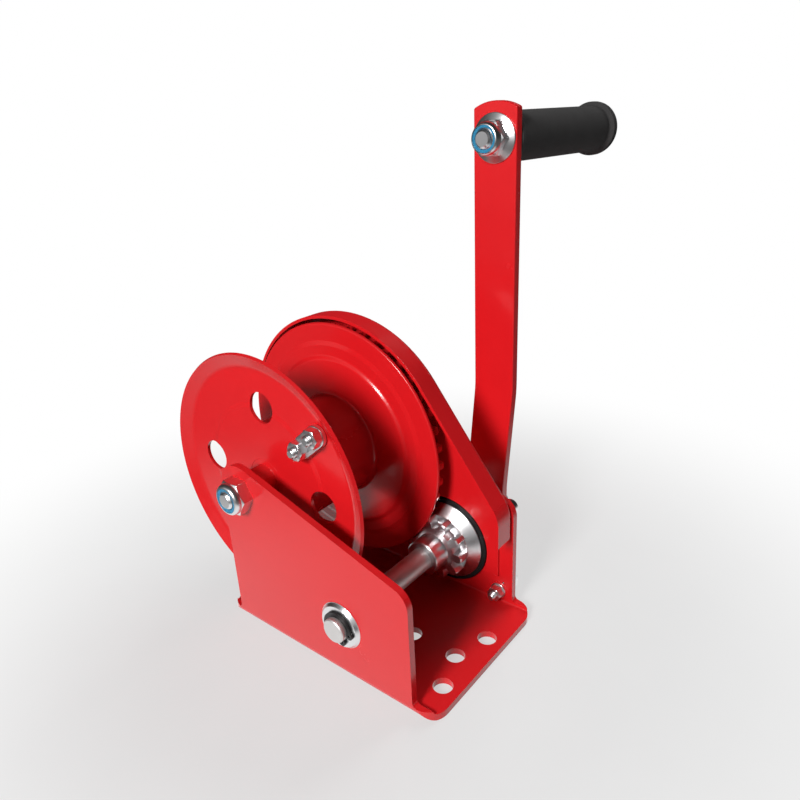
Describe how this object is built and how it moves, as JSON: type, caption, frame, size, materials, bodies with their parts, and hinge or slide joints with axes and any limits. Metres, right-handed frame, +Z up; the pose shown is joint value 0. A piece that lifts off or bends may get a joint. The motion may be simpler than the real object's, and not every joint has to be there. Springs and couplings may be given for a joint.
{
  "type": "hand winch",
  "caption": "Hand crank winch in a bent sheet frame, with a flanged rope drum, a geared pinion shaft under a guard and a ratchet load brake behind the crank.",
  "frame": {"origin": "on the underside of the base, midway between the two front mounting holes", "axes": "+X forward from the drum to the pinion, +Y from the near side plate to the crank, +Z up from the base"},
  "size_m": [0.2121, 0.2971, 0.2891],
  "materials": {
    "red_paint": "glossy red paint",
    "zinc_plate": "bright zinc plating",
    "plain_steel": "plain turned steel",
    "black_bush": "black, satin",
    "blue_insert": "blue nylon",
    "black_oxide": "blackened spring steel",
    "spring_steel": "spring wire",
    "black_grip": "black satin plastic",
    "brake_lining": "pressed friction lining"
  },
  "bodies": {
    "frame": {"base_frame": "red_paint", "gear_guard": "red_paint", "axle_sleeve": "plain_steel", "drum_bolt": "zinc_plate", "drum_nut": "zinc_plate", "drum_nut_insert": "blue_insert", "near_bush": "zinc_plate", "far_bush": "black_bush", "pawl_bolt": "zinc_plate", "pawl_spacer": "zinc_plate", "pawl_nut": "zinc_plate", "pawl_spring": "spring_steel"},
    "drum": {"drum_near_flange": "red_paint", "drum_barrel": "red_paint", "drum_far_flange": "red_paint", "drum_gear": "red_paint", "drum_bushes": "red_paint", "rope_clamp": "zinc_plate", "clamp_bolts": "zinc_plate", "clamp_nuts": "zinc_plate"},
    "pinion_train": {"pinion": "zinc_plate", "pinion_shaft": "plain_steel", "shaft_circlip": "black_oxide", "brake_hub": "zinc_plate", "inner_friction_disc": "brake_lining", "shaft_washer": "zinc_plate", "shaft_nut": "zinc_plate"},
    "ratchet": {"ratchet_wheel": "zinc_plate"},
    "pawl_lever": {"pawl": "zinc_plate"},
    "crank": {"crank_arm": "red_paint", "crank_hub": "zinc_plate", "outer_friction_disc": "brake_lining", "grip_bolt": "zinc_plate", "grip_nut": "zinc_plate", "grip_nut_insert": "blue_insert"},
    "grip": {"crank_grip": "black_grip"}
  },
  "joints": [
    {"name": "drum_spin", "type": "hinge", "parent": "frame", "child": "drum", "pos_m": [-0.12014, 0, 0.0925], "axis": [0, 1, 0], "continuous": true},
    {"name": "pinion_spin", "type": "hinge", "parent": "frame", "child": "pinion_train", "pos_m": [-0.0492, 0, 0.0355], "axis": [0, 1, 0], "continuous": true},
    {"name": "crank_release", "type": "hinge", "parent": "pinion_train", "child": "crank", "pos_m": [-0.0492, 0, 0.0355], "axis": [0, 1, 0], "range_deg": [0, 30]},
    {"name": "grip_spin", "type": "hinge", "parent": "crank", "child": "grip", "pos_m": [-0.0492, 0, 0.2697], "axis": [0, 1, 0], "continuous": true},
    {"name": "ratchet_click", "type": "hinge", "parent": "frame", "child": "ratchet", "pos_m": [-0.0492, 0, 0.0355], "axis": [0, -1, 0], "range_deg": [0, 25]},
    {"name": "pawl_lift", "type": "hinge", "parent": "frame", "child": "pawl_lever", "pos_m": [-0.0123, 0, 0.0111], "axis": [0, 1, 0], "range_deg": [0, 8], "stiffness_Nm_per_rad": 0.1, "springref_deg": -22.92, "deforming": ["pawl_spring"]}
  ],
  "couplings": [
    {"joint": "pinion_spin", "follows": "drum_spin", "ratio": -4.2},
    {"joint": "pawl_lift", "follows": "ratchet_click", "ratio": 0.32}
  ]
}
